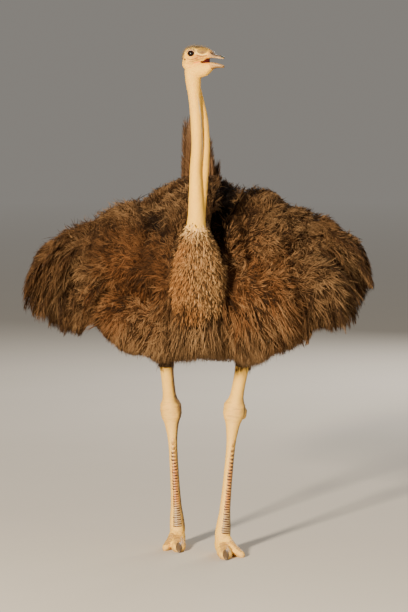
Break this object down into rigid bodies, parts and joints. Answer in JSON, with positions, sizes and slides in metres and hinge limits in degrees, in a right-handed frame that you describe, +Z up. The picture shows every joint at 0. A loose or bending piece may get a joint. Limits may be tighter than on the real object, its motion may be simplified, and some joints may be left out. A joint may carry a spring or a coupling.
{
  "type": "ostrich",
  "caption": "Life-size standing ostrich hen as a still model, bare neck raised, bill parted, wings lowered and spread, loose plumes over the body, scaled legs with two-toed feet.",
  "frame": {"origin": "on the floor, under the middle of the bird's outline", "axes": "+Z up, the bird faces -Y, +X is the bird's left side"},
  "size_m": [1.3142, 1.2684, 1.8782],
  "materials": {
    "bare_skin": "bare, finely creased cream skin with short down",
    "bill_horn": "smooth horn, grey at the tip",
    "eye": "wet, dark brown eye",
    "breast_feathers": "short grey brown feathers",
    "brown_plumes": "loose brown plumes with pale edges",
    "leg_skin": "pale skin with broad reddish scutes down the front",
    "claw_horn": "dark worn horn"
  },
  "bodies": {
    "root": {"head": "bare_skin", "neck_upper": "bare_skin", "neck_lower": "bare_skin", "beak_upper": "bill_horn", "beak_lower": "bill_horn", "eye_left": "eye", "eye_right": "eye", "breast": "breast_feathers", "torso": "brown_plumes", "wing_left": "brown_plumes", "wing_right": "brown_plumes", "tail": "brown_plumes", "shank_left": "leg_skin", "shank_right": "leg_skin", "tarsus_left": "leg_skin", "tarsus_right": "leg_skin", "toe_main_left": "leg_skin", "toe_main_right": "leg_skin", "toe_outer_left": "leg_skin", "toe_outer_right": "leg_skin", "claw_left": "claw_horn", "claw_right": "claw_horn"}
  },
  "joints": []
}
